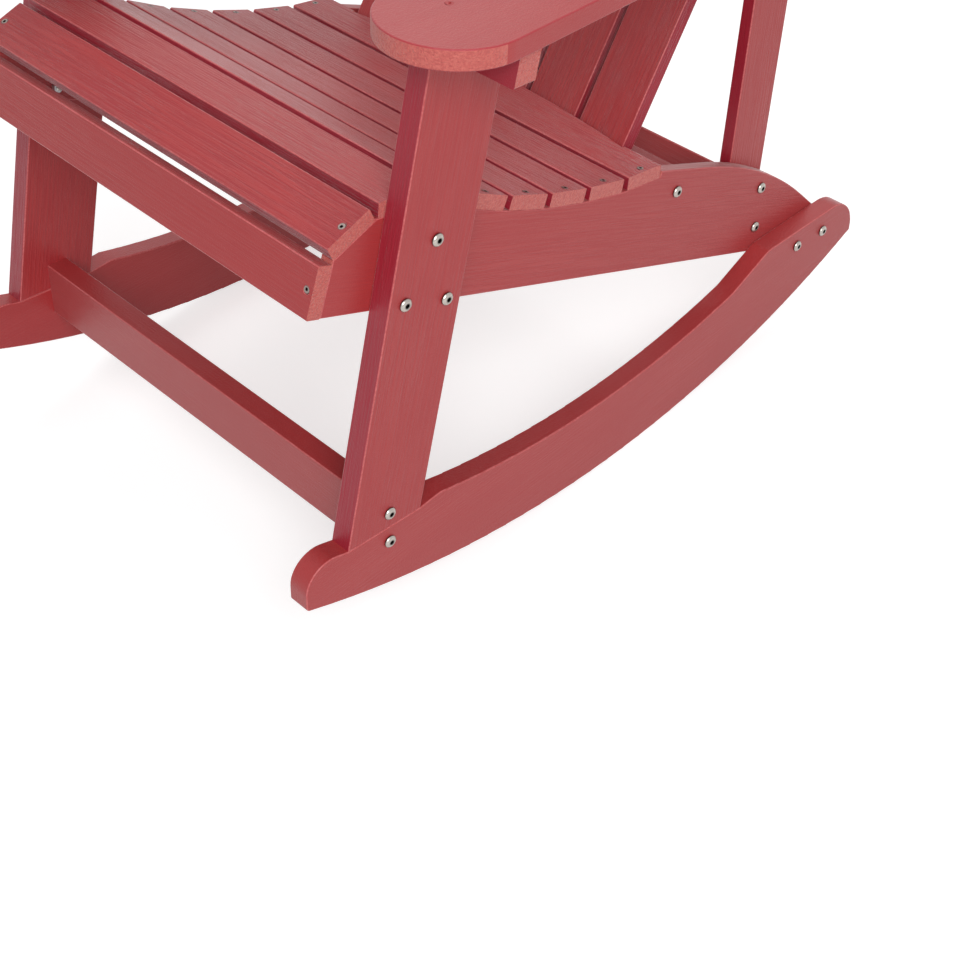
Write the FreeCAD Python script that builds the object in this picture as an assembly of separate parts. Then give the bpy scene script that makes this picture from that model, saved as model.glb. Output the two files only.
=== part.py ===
import FreeCAD, Part
import math
import os

# A rocking adirondack chair made of plastic-wood boards, bolted and screwed together.
# The sitter faces -Y, X runs across the chair and +Z is up.
# The side view is drawn with the arms level: y = 0 and z = 0 are under the middle of the rockers'
# arc. The finished chair is then leant back about that arc's centre until it balances, and moved
# so that the origin is at the bottom centre of its box.
# Left is the sitter's left, which is the +X side.

# Boards
thick_board = 24.0
thin_board = 15.0
arm_board = 19.0
edge_round = 1.5

# Seat: the height and place of its crest, where the nose slat meets the first seat slat
seat_half_width = 258.0
crest_y = -241.4
crest_z = 424.3
slat_width = 50.0
nose_slope = 23.8
slat_slopes = [-4.0, -28.5, -24.5, -19.5, -15.4, -11.3, -4.5]
crest_gap = 3.0
slat_gap = 7.0

# Side rails, measured along and square to their straight bottom edge
rail_slope = 17.8
rail_width = 110.0
rail_below_crest = 87.7
rail_ahead_of_crest = 38.5
rail_behind_crest = 764.0
rail_curve_start = 480.0
rail_curve_radius = 520.0
rail_curve_turn = 23.5
rail_tail_round = 12.0
scoop_clearance = 2.0
apron_height = 50.0

# Rockers
rocker_radius = 1053.0
rocker_ahead_of_leg = 50.077
rocker_behind = 491.0
rocker_depth = 90.3
rocker_top_radius = 939.7
rocker_top_y = -13.6
rocker_ramp_length = 26.0
rocker_pad_start = 322.0
rocker_pad_height = 163.0
rocker_pad_slope = 3.8
rocker_pad_ramp = 60.0
rocker_nose_height = 115.0
rocker_nose_round = 29.0
rocker_toe_round = 5.0
rocker_heel_round = 44.0
rocker_heel_share = 0.84
rocker_pad_round = 20.0

# Front legs
foot_y = -256.0
foot_z = 102.0
leg_width = 87.0
leg_lean = 11.7
arm_underside = 583.5

# Front stretcher
stretcher_height = 62.0
stretcher_ahead_of_foot = -5.3

# Rear posts and the upright board in front of them
post_width = 61.0
post_y = 309.2
post_lean = 1.6
post_reference_z = 283.0
post_bottom = 165.0
cross_board_height = 70.0
cross_board_top = 279.0
cross_board_bevel = 38.0

# Arms
arm_front_radius = 65.0
arm_inner_x = 220.0
arm_front_y = -183.0
arm_rear_y = 362.0
arm_taper = 5.4
arm_corner_round = 18.0
bracket_reach = 60.0
bracket_height = 30.0
bracket_behind_leg_middle = 3.0
bracket_round = 2.5

# Back: slats on a hollow curve, leaning back from upright
back_lean = 30.5
back_radius = 1170.0
back_half_width = 202.0
back_behind_seat = 1.5
back_gap = 4.0
back_slat_bottom = -50.0
back_top = 725.0
back_top_radius = 330.0
back_top_round = 8.0
centre_slat_width = 95.0
inner_slat_width = 72.5
outer_slat_width = 72.0
inner_slat_x = 90.4
outer_slat_x = 170.0
back_rail_rear = 75.5
lower_rail_drop = 43.5
lower_rail_rear = 52.6
lower_rail_bolt_depth = 23.5
arm_rail_level = 275.0
upper_rail_level = 520.0
upper_rail_half = 199.0
seat_bulge_half = 209.0

# Fasteners
bolt_shank = 6.0
bolt_head = 13.0
bolt_head_height = 3.6
bolt_head_rim = 1.2
bolt_socket = 4.0
bolt_socket_depth = 2.2
bolt_clearance = 0.3
nut_width = 10.0
nut_height = 5.0
bolt_past_nut = 2.0
barrel_diameter = 10.0
barrel_inset = 34.0
barrel_short_of_face = 2.0
bolt_past_barrel = 4.0
screw_head = 7.5
screw_head_depth = 2.6
screw_shank = 4.0
screw_socket = 2.4
screw_socket_depth = 1.4
screw_bite = 24.0
screw_point = 4.0

# Fastener places
leg_bolt_spread = 51.0
leg_bolt_low = 16.0
leg_bolt_high = 75.5
foot_bolt_spread = 35.0
post_bolt_offset = 14.0
post_bolt_low = 184.5
post_bolt_high = 235.0
rocker_bolt_behind_pad_start = 56.0
rocker_bolt_below_pad = 17.0
rocker_bolt_spacing = 50.0
back_rail_bolt_depth = 30.0
arm_screw_spacing = 36.0
bracket_screw_spacing = 16.0
cross_board_screw_edge = 15.0
back_screw_edge = 15.0
lower_screw_middle = 11.0

# Densities in kilograms per cubic metre, used only to find where the chair balances
board_density = 1100.0
steel_density = 7850.0

X_AXIS = FreeCAD.Vector(1, 0, 0)
Y_AXIS = FreeCAD.Vector(0, 1, 0)
Z_AXIS = FreeCAD.Vector(0, 0, 1)
ORIGIN = FreeCAD.Vector(0, 0, 0)

# Faces of the side boards, counted outwards from the middle of the chair
rail_outer = seat_half_width
rail_inner = rail_outer - thin_board
leg_outer = rail_outer + thick_board
post_inner = rail_inner - thin_board


def heading(slope):
    """Unit direction (y, z) that runs backwards and rises by slope degrees."""
    angle = math.radians(slope)
    return (math.cos(angle), math.sin(angle))


def square_to(slope):
    """Unit direction (y, z) square to heading(slope), on its upper side."""
    angle = math.radians(slope)
    return (-math.sin(angle), math.cos(angle))


def step(place, direction, distance):
    """The side-view point at a distance from another one."""
    return (place[0] + direction[0] * distance, place[1] + direction[1] * distance)


def outline(start, runs, spot):
    """Closed wire from start: a run of one place is a line, and of two an arc through the first."""
    edges = []
    here = start
    for run in runs:
        there = run[-1]
        if len(run) == 2:
            edges.append(Part.Arc(spot(here), spot(run[0]), spot(there)).toShape())
        else:
            edges.append(Part.LineSegment(spot(here), spot(there)).toShape())
        here = there
    edges.append(Part.LineSegment(spot(here), spot(start)).toShape())
    return Part.Wire(edges)


def side_plate(start, runs, x_from, x_to):
    """A board cut to a side-view outline, between two places across the chair."""
    wire = outline(start, runs, lambda place: FreeCAD.Vector(x_from, place[0], place[1]))
    return Part.Face(wire).extrude(X_AXIS * (x_to - x_from))


def straight_runs(places):
    """Runs of straight lines through the places."""
    return [(place,) for place in places]


def round_corner(solid, place, radius):
    """Rounds the edge that runs across the chair through a side-view point."""
    chosen = []
    for edge in solid.Edges:
        ends = [vertex.Point for vertex in edge.Vertexes]
        if len(ends) == 2 and all(math.hypot(end.y - place[0], end.z - place[1]) < 0.01 for end in ends):
            chosen.append(edge)
    return solid.makeFillet(radius, chosen)


def ease_faces(solid, axis, radius):
    """Eases the outline edges of a board's two broad faces, which are square to the axis."""
    chosen = []
    for face in solid.Faces:
        if face.Surface.TypeId == "Part::GeomPlane":
            if abs(abs(face.normalAt(0, 0).dot(axis)) - 1.0) < 1e-6:
                chosen.extend(face.Edges)
    return solid.makeFillet(radius, chosen)


def ease_long_edges(solid, axis, radius):
    """Eases the straight edges that run along a board."""
    chosen = []
    for edge in solid.Edges:
        if edge.Curve.TypeId == "Part::GeomLine":
            if abs(abs(edge.tangentAt(edge.FirstParameter).dot(axis)) - 1.0) < 1e-6:
                chosen.append(edge)
    return solid.makeFillet(radius, chosen)


def cross_slat(under_front, slope, width, height, half_length):
    """A board that runs across the chair on a facet of the side rails."""
    run = heading(slope)
    up = square_to(slope)
    under_rear = step(under_front, run, width)
    top_rear = step(under_rear, up, height)
    top_front = step(under_front, up, height)
    runs = straight_runs([under_rear, top_rear, top_front])
    plate = side_plate(under_front, runs, -half_length, half_length)
    return ease_long_edges(plate, X_AXIS, edge_round)


def mirrored(shape):
    """The same piece on the other side of the chair."""
    return shape.mirror(ORIGIN, X_AXIS)


def facet_reach(slope_before, slope_after):
    """How far the ends of two slats stay from the corner of the rail between them."""
    turn = slope_after - slope_before
    if turn < 0:
        return crest_gap / 2
    return slat_gap / 2 + thin_board * math.tan(math.radians(turn / 2))


def lay_seat():
    """Places the slats on their facets and lists the rail's corners from the crest backwards."""
    slopes = [nose_slope] + slat_slopes
    crest = (crest_y, crest_z)
    nose_front = step(crest, heading(nose_slope), -facet_reach(nose_slope, slat_slopes[0]) - slat_width)
    fronts = [nose_front]
    corners = [crest]
    corner = crest
    for index in range(1, len(slopes)):
        slope = slopes[index]
        front = step(corner, heading(slope), facet_reach(slopes[index - 1], slope))
        rear = step(front, heading(slope), slat_width)
        fronts.append(front)
        if index + 1 < len(slopes):
            corner = step(rear, heading(slope), facet_reach(slope, slopes[index + 1]))
        else:
            corner = step(rear, heading(slope), scoop_clearance)
        corners.append(corner)
    return slopes, fronts, corners


slopes, slat_fronts, rail_corners = lay_seat()
last_slope = slopes[-1]
seat_rear_under = step(slat_fronts[-1], heading(last_slope), slat_width)
seat_rear_top = step(seat_rear_under, square_to(last_slope), thin_board)

rail_run = heading(-rail_slope)
rail_up = square_to(-rail_slope)


def on_rail(along, above):
    """Side-view point at a distance behind the crest and above the rail's bottom edge."""
    return step(step((crest_y, crest_z), rail_run, along), rail_up, above - rail_below_crest)


def along_rail(place):
    """Distance of a side-view point behind the crest, along the rail."""
    return (place[0] - crest_y) * rail_run[0] + (place[1] - crest_z) * rail_run[1]


def side_rail():
    """The rail under one end of the seat slats, scooped for the seat, with a curved tail."""
    nose_back = rail_ahead_of_crest / math.cos(math.radians(nose_slope + rail_slope))
    front_top = step((crest_y, crest_z), heading(nose_slope), -nose_back)
    scoop_top = on_rail(along_rail(rail_corners[-1]), rail_width)
    half_turn = math.radians(rail_curve_turn / 2)
    full_turn = math.radians(rail_curve_turn)
    curve_mid = on_rail(rail_curve_start + rail_curve_radius * math.sin(half_turn),
                        rail_width - rail_curve_radius * (1 - math.cos(half_turn)))
    curve_end_along = rail_curve_start + rail_curve_radius * math.sin(full_turn)
    curve_end_above = rail_width - rail_curve_radius * (1 - math.cos(full_turn))
    tail_above = curve_end_above - (rail_behind_crest - curve_end_along) * math.tan(full_turn)
    tail_top = on_rail(rail_behind_crest, tail_above)
    tail_bottom = on_rail(rail_behind_crest, 0)
    runs = straight_runs([front_top] + rail_corners + [scoop_top, on_rail(rail_curve_start, rail_width)])
    runs.append((curve_mid, on_rail(curve_end_along, curve_end_above)))
    runs.extend(straight_runs([tail_top, tail_bottom]))
    plate = side_plate(on_rail(-rail_ahead_of_crest, 0), runs, rail_inner, rail_outer)
    plate = round_corner(plate, tail_top, rail_tail_round)
    return ease_faces(plate, X_AXIS, edge_round)


def front_apron():
    """The board across the front ends of the rails, below the nose slat."""
    back_bottom = on_rail(-rail_ahead_of_crest, 0)
    front_bottom = on_rail(-rail_ahead_of_crest - thin_board, 0)
    front_top = on_rail(-rail_ahead_of_crest - thin_board, apron_height)
    back_top_place = on_rail(-rail_ahead_of_crest, apron_height)
    plate = side_plate(back_bottom, straight_runs([front_bottom, front_top, back_top_place]),
                       -seat_half_width, seat_half_width)
    return ease_long_edges(plate, X_AXIS, edge_round)


def arc_height(radius, y, y_middle, low):
    """Height of a hollow-upwards arc whose lowest point is at y_middle and low."""
    return low + radius - math.sqrt(radius ** 2 - (y - y_middle) ** 2)


def leg_y(z):
    """Middle of the leg at a height."""
    return foot_y + (z - foot_z) * math.tan(math.radians(leg_lean))


leg_half_across = leg_width / 2 / math.cos(math.radians(leg_lean))


def rocker():
    """A curved rocker with a flat for the leg and a raised pad for the rail's tail."""
    nose_y = foot_y - leg_half_across - rocker_ahead_of_leg
    toe = (nose_y, arc_height(rocker_radius, nose_y, 0, 0))
    heel = (rocker_behind, arc_height(rocker_radius, rocker_behind, 0, 0))
    pad_front = (rocker_pad_start, rocker_pad_height)
    pad_rise = (rocker_behind - rocker_pad_start) * math.tan(math.radians(rocker_pad_slope))
    pad_rear = (rocker_behind, rocker_pad_height + pad_rise)
    ramp_y = rocker_pad_start - rocker_pad_ramp
    ramp_low = (ramp_y, arc_height(rocker_top_radius, ramp_y, rocker_top_y, rocker_depth))
    notch = (foot_y + leg_half_across, foot_z)
    notch_front = (foot_y - leg_half_across, foot_z)
    notch_end_y = notch[0] + rocker_ramp_length
    notch_end = (notch_end_y, arc_height(rocker_top_radius, notch_end_y, rocker_top_y, rocker_depth))
    nose = (nose_y, rocker_nose_height)
    runs = [((0, 0), heel), (pad_rear,), (pad_front,), (ramp_low,)]
    runs.append(((rocker_top_y, rocker_depth), notch_end))
    runs.extend(straight_runs([notch, notch_front, nose]))
    plate = side_plate(toe, runs, rail_outer, leg_outer)
    plate = round_corner(plate, nose, rocker_nose_round)
    plate = round_corner(plate, toe, rocker_toe_round)
    plate = round_corner(plate, pad_rear, min(rocker_heel_round, (pad_rear[1] - heel[1]) * rocker_heel_share))
    plate = round_corner(plate, pad_front, rocker_pad_round)
    return ease_faces(plate, X_AXIS, edge_round)


def front_leg():
    """A leaning leg that stands on the rocker and carries the arm."""
    foot_front = (foot_y - leg_half_across, foot_z)
    foot_rear = (foot_y + leg_half_across, foot_z)
    top_rear = (leg_y(arm_underside) + leg_half_across, arm_underside)
    top_front = (leg_y(arm_underside) - leg_half_across, arm_underside)
    plate = side_plate(foot_front, straight_runs([foot_rear, top_rear, top_front]), rail_outer, leg_outer)
    return ease_faces(plate, X_AXIS, edge_round)


def front_stretcher():
    """The upright board between the feet, half against the legs and half against the rockers."""
    y_front = foot_y - stretcher_ahead_of_foot - thick_board / 2
    z_low = foot_z - stretcher_height / 2
    board = Part.makeBox(2 * rail_outer, thick_board, stretcher_height,
                         FreeCAD.Vector(-rail_outer, y_front, z_low))
    return ease_long_edges(board, X_AXIS, edge_round)


def post_at(z, across):
    """Point of the post at a height, across its width from its middle line."""
    lean = math.tan(math.radians(post_lean))
    return (post_y + (z - post_reference_z) * lean + across / math.cos(math.radians(post_lean)), z)


def rear_post():
    """The post inside the rail that carries the rear of the arm."""
    half = post_width / 2
    places = [post_at(post_bottom, half), post_at(arm_underside, half), post_at(arm_underside, -half)]
    plate = side_plate(post_at(post_bottom, -half), straight_runs(places), post_inner, rail_inner)
    return ease_faces(plate, X_AXIS, edge_round)


def rear_cross_board():
    """The upright board between the rails, against the posts, its top planed to fall rearwards."""
    low = cross_board_top - cross_board_height
    against = -post_width / 2
    planed = cross_board_top - thin_board * math.tan(math.radians(cross_board_bevel))
    places = [post_at(low, against), post_at(planed, against), post_at(cross_board_top, against - thin_board)]
    plate = side_plate(post_at(low, against - thin_board), straight_runs(places), -rail_inner, rail_inner)
    return ease_long_edges(plate, X_AXIS, edge_round)


def arm():
    """The left arm: round at the front, tapering to the rear, resting on the leg and the post."""
    middle_x = arm_inner_x + arm_front_radius
    taper = math.radians(arm_taper)
    touch_x = middle_x + arm_front_radius * math.cos(taper)
    touch_y = arm_front_y + arm_front_radius * math.sin(taper)
    rear_x = touch_x - (arm_rear_y - touch_y) * math.tan(taper)
    start = (arm_inner_x, arm_front_y)
    runs = [((middle_x, arm_front_y - arm_front_radius), (touch_x, touch_y))]
    runs.extend(straight_runs([(rear_x, arm_rear_y), (arm_inner_x, arm_rear_y)]))
    wire = outline(start, runs, lambda place: FreeCAD.Vector(place[0], place[1], arm_underside))
    plate = Part.Face(wire).extrude(Z_AXIS * arm_board)
    corners = []
    for edge in plate.Edges:
        middle = edge.CenterOfMass
        if abs(middle.y - arm_rear_y) < 0.01 and abs(middle.z - arm_underside - arm_board / 2) < 0.01:
            corners.append(edge)
    plate = plate.makeFillet(arm_corner_round, corners)
    return ease_faces(plate, Z_AXIS, edge_round)


def arm_bracket():
    """The small corbel on the leg's outer face, under the arm."""
    end_low = arm_underside - bracket_height
    tip = leg_outer + bracket_reach
    places = [(leg_outer, arm_underside), (leg_outer, end_low), (tip, end_low), (tip, arm_underside)]
    spots = [FreeCAD.Vector(x, 0, z) for x, z in places]
    plate = Part.Face(Part.makePolygon(spots + [spots[0]])).extrude(Y_AXIS * thick_board)
    rounded = []
    for edge in plate.Edges:
        middle = edge.CenterOfMass
        if abs(middle.x - tip) < 0.01 and abs(middle.z - end_low) < 0.01:
            rounded.append(edge)
    plate = plate.makeFillet(bracket_round, rounded)
    lean = math.tan(math.radians(leg_lean))
    shear = FreeCAD.Matrix(1, 0, 0, 0, 0, 1, lean, 0, 0, 0, 1, 0, 0, 0, 0, 1)
    plate = plate.transformGeometry(shear)
    start_y = leg_y(arm_underside) + bracket_behind_leg_middle - thick_board / 2 - lean * arm_underside
    return plate.translate(FreeCAD.Vector(0, start_y, 0))


# The back's own directions: up along the slats and rearwards, square to them
back_up = FreeCAD.Vector(0, math.sin(math.radians(back_lean)), math.cos(math.radians(back_lean)))
back_rear = FreeCAD.Vector(0, math.cos(math.radians(back_lean)), -math.sin(math.radians(back_lean)))
back_origin = FreeCAD.Vector(0, seat_rear_top[0] + back_behind_seat, seat_rear_top[1])


def in_back(x, rear, up):
    """Point across the chair, behind the front of the outer slats' edges, and up along the back."""
    return back_origin + X_AXIS * x + back_rear * rear + back_up * up


def hollow(x):
    """How far behind its own edges the curved back lies at a place across the chair."""
    return math.sqrt(back_radius ** 2 - x ** 2) - math.sqrt(back_radius ** 2 - back_half_width ** 2)


def slat_plan(x_middle):
    """Middle of a back slat's front face, its direction across and its direction rearwards."""
    angle = math.asin(x_middle / back_radius)
    across = (math.cos(angle), -math.sin(angle))
    rearwards = (math.sin(angle), math.cos(angle))
    return (x_middle, hollow(x_middle)), across, rearwards


def prism(plan, low, high):
    """A plan in the back's own directions, raised along the slats."""
    spots = [in_back(x, rear, low) for x, rear in plan]
    wire = Part.makePolygon(spots + [spots[0]])
    return Part.Face(wire).extrude(back_up * (high - low))


def back_slat(x_middle, width):
    """One slat of the back, its top cut to the arch that crowns all five."""
    middle, across, rear = slat_plan(x_middle)
    plan = []
    for side, depth in ((-1, 0), (1, 0), (1, thin_board), (-1, thin_board)):
        half = side * width / 2
        plan.append((middle[0] + across[0] * half + rear[0] * depth,
                     middle[1] + across[1] * half + rear[1] * depth))
    board = prism(plan, back_slat_bottom, back_top)
    crown_foot = in_back(0, -back_radius, back_top - back_top_radius)
    crown = Part.makeCylinder(back_top_radius, 2 * back_radius, crown_foot, back_rear)
    below = prism([(-back_radius, -back_radius), (back_radius, -back_radius),
                   (back_radius, back_radius), (-back_radius, back_radius)],
                  back_slat_bottom - thin_board, back_top - back_top_radius / 2)
    board = board.common(crown.fuse(below))
    return ease_slat(board)


def ease_slat(board):
    """Rounds a back slat's two top corners and eases its long edges."""
    tops = []
    for edge in board.Edges:
        direction = edge.tangentAt(edge.FirstParameter)
        height = (edge.CenterOfMass - back_origin).dot(back_up)
        level = abs(direction.dot(back_up)) < 0.2
        if level and height > back_top / 2 and abs(edge.Length - thin_board) < 0.5:
            tops.append(edge)
    board = board.makeFillet(back_top_round, tops)
    return ease_long_edges(board, back_up, edge_round)


slat_places = [(-outer_slat_x, outer_slat_width), (-inner_slat_x, inner_slat_width), (0.0, centre_slat_width),
               (inner_slat_x, inner_slat_width), (outer_slat_x, outer_slat_width)]


def rear_line(x_middle):
    """Place and slope of the line that a back slat's rear face draws in plan."""
    middle, across, rear = slat_plan(x_middle)
    place = (middle[0] + rear[0] * thin_board, middle[1] + rear[1] * thin_board)
    return place, across[1] / across[0]


def line_height(line, x):
    """Rearward distance of a plan line at a place across the chair."""
    place, slope = line
    return place[1] + (x - place[0]) * slope


def crossing(first, second):
    """Place across the chair where two plan lines cross."""
    return (line_height(second, 0) - line_height(first, 0)) / (first[1] - second[1])


def rail_plan(half_length, rear_edge):
    """A back rail's plan, its front edge in facets that fit the slats' rear faces."""
    lines = [rear_line(x_middle) for x_middle, width in slat_places]
    plan = [(-half_length, line_height(lines[0], -half_length))]
    for first, second in zip(lines, lines[1:]):
        x = crossing(first, second)
        plan.append((x, line_height(first, x)))
    plan.append((half_length, line_height(lines[-1], half_length)))
    return plan + [(half_length, rear_edge), (-half_length, rear_edge)]


def back_rail(half_length, level):
    """A board square to the back slats, up to a level along them."""
    plate = prism(rail_plan(half_length, back_rail_rear), level - thin_board, level)
    return ease_faces(plate, back_up, edge_round)


def lower_back_rail():
    """The level board behind the seat, which the feet of the back slats are screwed to."""
    reach_along_slats = lower_rail_drop + back_rail_rear
    slanted = prism(rail_plan(rail_inner, 2 * back_rail_rear), -reach_along_slats, reach_along_slats)
    corner = FreeCAD.Vector(-rail_inner, back_origin.y - back_rail_rear,
                            back_origin.z - lower_rail_drop - thick_board / 2)
    level_board = Part.makeBox(2 * rail_inner, back_rail_rear + lower_rail_rear, thick_board, corner)
    board = slanted.common(level_board)
    long_edges = [edge for edge in board.Edges if edge.Length > rail_inner]
    rear_face = board.BoundBox.YMax - edge_round
    return board.makeFillet(edge_round, [edge for edge in long_edges if edge.CenterOfMass.y > rear_face])


def last_seat_slat():
    """The rearmost seat slat, its rear edge bulging back to follow the hollow of the back."""
    front = slat_fronts[-1]
    board = cross_slat(front, last_slope, slat_width, thin_board, seat_half_width)
    bulge = cross_slat(front, last_slope, slat_width + 2 * hollow(0), thin_board, seat_bulge_half)
    rear_edge = []
    for share in (-1, 0, 1):
        x = share * seat_bulge_half
        rear_edge.append(in_back(x, hollow(x) - back_gap, -2 * thin_board))
    arc = Part.Arc(rear_edge[0], rear_edge[1], rear_edge[2]).toShape()
    far_right = in_back(seat_bulge_half, back_rail_rear, -2 * thin_board)
    far_left = in_back(-seat_bulge_half, back_rail_rear, -2 * thin_board)
    edges = [arc]
    for start, end in ((rear_edge[2], far_right), (far_right, far_left), (far_left, rear_edge[0])):
        edges.append(Part.LineSegment(start, end).toShape())
    behind = Part.Face(Part.Wire(edges)).extrude(back_up * 4 * thin_board)
    return board.fuse(bulge).cut(behind).removeSplitter()


# Fasteners are drawn pointing down from their seat at the origin and then turned into place
def turned(profile):
    """A solid of revolution about Z from (radius, height) points."""
    spots = [FreeCAD.Vector(radius, 0, height) for radius, height in profile]
    face = Part.Face(Part.makePolygon(spots + [spots[0]]))
    return face.revolve(ORIGIN, Z_AXIS, 360)


def hexagon(width, height, z):
    """A hexagonal prism across its flats, from z upwards."""
    corner = width / math.sqrt(3)
    spots = []
    for index in range(7):
        angle = math.radians(60 * index)
        spots.append(FreeCAD.Vector(corner * math.cos(angle), corner * math.sin(angle), z))
    return Part.Face(Part.makePolygon(spots)).extrude(Z_AXIS * height)


def bolt(length):
    """A furniture bolt with a low domed head and a hexagon socket."""
    radius = bolt_head / 2
    shank = bolt_shank / 2
    shoulder = radius * 0.8
    profile = [(0, -length), (shank, -length), (shank, 0), (radius, 0), (radius, bolt_head_rim),
               (shoulder, bolt_head_height * 0.85), (radius * 0.5, bolt_head_height), (0, bolt_head_height)]
    socket = hexagon(bolt_socket, bolt_socket_depth, bolt_head_height - bolt_socket_depth)
    return turned(profile).cut(socket)


def screw(length):
    """A countersunk screw with a square socket and a point, its head flush with the origin."""
    radius = screw_head / 2
    shank = screw_shank / 2
    profile = [(0, -length), (shank, screw_point - length), (shank, -screw_head_depth), (radius, 0), (0, 0)]
    half = screw_socket / 2
    socket = Part.makeBox(screw_socket, screw_socket, screw_socket_depth,
                          FreeCAD.Vector(-half, -half, -screw_socket_depth))
    return turned(profile).cut(socket)


def rod(diameter, length):
    """A round hole or bar that runs down from the origin."""
    return Part.makeCylinder(diameter / 2, length, FreeCAD.Vector(0, 0, -length))


def screw_hole(length, depth):
    """What a screw takes out: its head's cone, a loose hole through the first board and a tight one."""
    radius = screw_head / 2
    loose = (screw_shank + bolt_clearance) / 2
    cone_depth = screw_head_depth * (radius - loose) / (radius - screw_shank / 2)
    tight = screw_shank / 2
    profile = [(0, -length), (tight, screw_point - length), (tight, -depth), (loose, -depth),
               (loose, -cone_depth), (radius, 0), (0, 0)]
    return turned(profile)


def nut(distance):
    """A hexagon nut on a bolt, its face at a distance below the bolt's seat."""
    body = hexagon(nut_width, nut_height, -distance - nut_height)
    return body.cut(rod(bolt_shank, distance + 2 * nut_height))


def placed(shape, place, direction):
    """A fastener turned so that it points along the direction from its place."""
    copy = shape.copy()
    copy.Placement = FreeCAD.Placement(place, FreeCAD.Rotation(Z_AXIS * -1, direction))
    return copy


boards = {}
cutters = {}
fasteners = {}


def add_fastener(group, shape, place, direction):
    """Adds one fastener to its group."""
    fasteners.setdefault(group, []).append(placed(shape, place, direction))


def bore(names, shape, place, direction):
    """Takes a hole out of the named boards."""
    for name in names:
        cutters.setdefault(name, []).append(placed(shape, place, direction))


def side_names(names, side):
    """Names of the boards on one side of the chair."""
    return [name + "_" + side for name in names]


def both_sides():
    """The two sides with the sign of their X."""
    return (("left", 1), ("right", -1))


def through_bolt(group, names, x_outer, thickness, y, z):
    """A bolt on each side from an outer face through boards of a total thickness to a nut."""
    for side, sign in both_sides():
        place = FreeCAD.Vector(sign * x_outer, y, z)
        inward = X_AXIS * -sign
        length = thickness + nut_height + bolt_past_nut
        add_fastener(group + "_bolts", bolt(length), place, inward)
        add_fastener(group + "_nuts", nut(thickness), place, inward)
        bore(side_names(names, side), rod(bolt_shank + bolt_clearance, thickness), place, inward)


def end_bolt(group, side_boards, cross_board, x_outer, thickness, y, z, barrel_axis, barrel_length):
    """A bolt on each side through the side board into a barrel nut in the end of a cross board."""
    for side, sign in both_sides():
        place = FreeCAD.Vector(sign * x_outer, y, z)
        inward = X_AXIS * -sign
        length = thickness + barrel_inset + bolt_past_barrel + barrel_diameter / 2
        add_fastener(group + "_bolts", bolt(length), place, inward)
        hole = rod(bolt_shank + bolt_clearance, length)
        bore(side_names(side_boards, side) + [cross_board], hole, place, inward)
        centre = place + inward * (thickness + barrel_inset)
        top = centre - barrel_axis * (barrel_length / 2)
        barrel = placed(rod(barrel_diameter, barrel_length), top, barrel_axis)
        barrel = barrel.cut(placed(rod(bolt_shank, length), place, inward))
        fasteners.setdefault(group + "_barrel_nuts", []).append(barrel)
        bore([cross_board], rod(barrel_diameter, barrel_length + barrel_short_of_face), top, barrel_axis)


def drive_screw(group, first_board, second_board, depth, place, direction):
    """A screw through one board into another."""
    length = depth + screw_bite
    add_fastener(group, screw(length), place, direction)
    bore([first_board], screw_hole(length, depth), place, direction)
    bore([second_board], rod(screw_shank, length - screw_point), place, direction)
    tip = turned([(0, -length), (screw_shank / 2, screw_point - length), (0, screw_point - length)])
    bore([second_board], tip, place, direction)


def make_boards():
    """Every board of the chair, by name."""
    boards["rocker_left"] = rocker()
    boards["front_leg_left"] = front_leg()
    boards["side_rail_left"] = side_rail()
    boards["rear_post_left"] = rear_post()
    boards["arm_left"] = arm()
    boards["arm_bracket_left"] = arm_bracket()
    for name in list(boards):
        boards[name.replace("_left", "_right")] = mirrored(boards[name])
    boards["front_stretcher"] = front_stretcher()
    boards["front_apron"] = front_apron()
    boards["rear_cross_board"] = rear_cross_board()
    boards["seat_slat_nose"] = cross_slat(slat_fronts[0], nose_slope, slat_width, thin_board, seat_half_width)
    for index in range(1, len(slopes) - 1):
        name = "seat_slat_%d" % index
        boards[name] = cross_slat(slat_fronts[index], slopes[index], slat_width, thin_board, seat_half_width)
    boards["seat_slat_%d" % (len(slopes) - 1)] = last_seat_slat()
    boards["lower_back_rail"] = lower_back_rail()
    boards["arm_back_rail"] = back_rail(post_inner, arm_rail_level)
    boards["upper_back_rail"] = back_rail(upper_rail_half, upper_rail_level)
    for index, (x_middle, width) in enumerate(slat_places):
        boards["back_slat_%d" % (index + 1)] = back_slat(x_middle, width)


def bolt_legs():
    """Three bolts through each leg and its rail: two along the rail's bottom edge and one above."""
    for above, shift in ((leg_bolt_low, -leg_bolt_spread / 2), (leg_bolt_low, leg_bolt_spread / 2),
                         (leg_bolt_high, 0.0)):
        base = on_rail(0, above)
        lean = math.tan(math.radians(leg_lean))
        start_y = leg_y(base[1]) + shift / math.cos(math.radians(leg_lean))
        distance = (start_y - base[0]) / (rail_run[0] - rail_run[1] * lean)
        y, z = step(base, rail_run, distance)
        through_bolt("leg", ["front_leg", "side_rail"], leg_outer, thick_board + thin_board, y, z)


def bolt_feet():
    """Bolts through each leg and each rocker into the end of the front stretcher."""
    y = foot_y - stretcher_ahead_of_foot
    for board, sign in (("front_leg", 1), ("rocker", -1)):
        z = foot_z + sign * foot_bolt_spread / 2
        end_bolt("foot", [board], "front_stretcher", leg_outer, thick_board, y, z, Y_AXIS,
                 thick_board - 2 * barrel_short_of_face)


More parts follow.
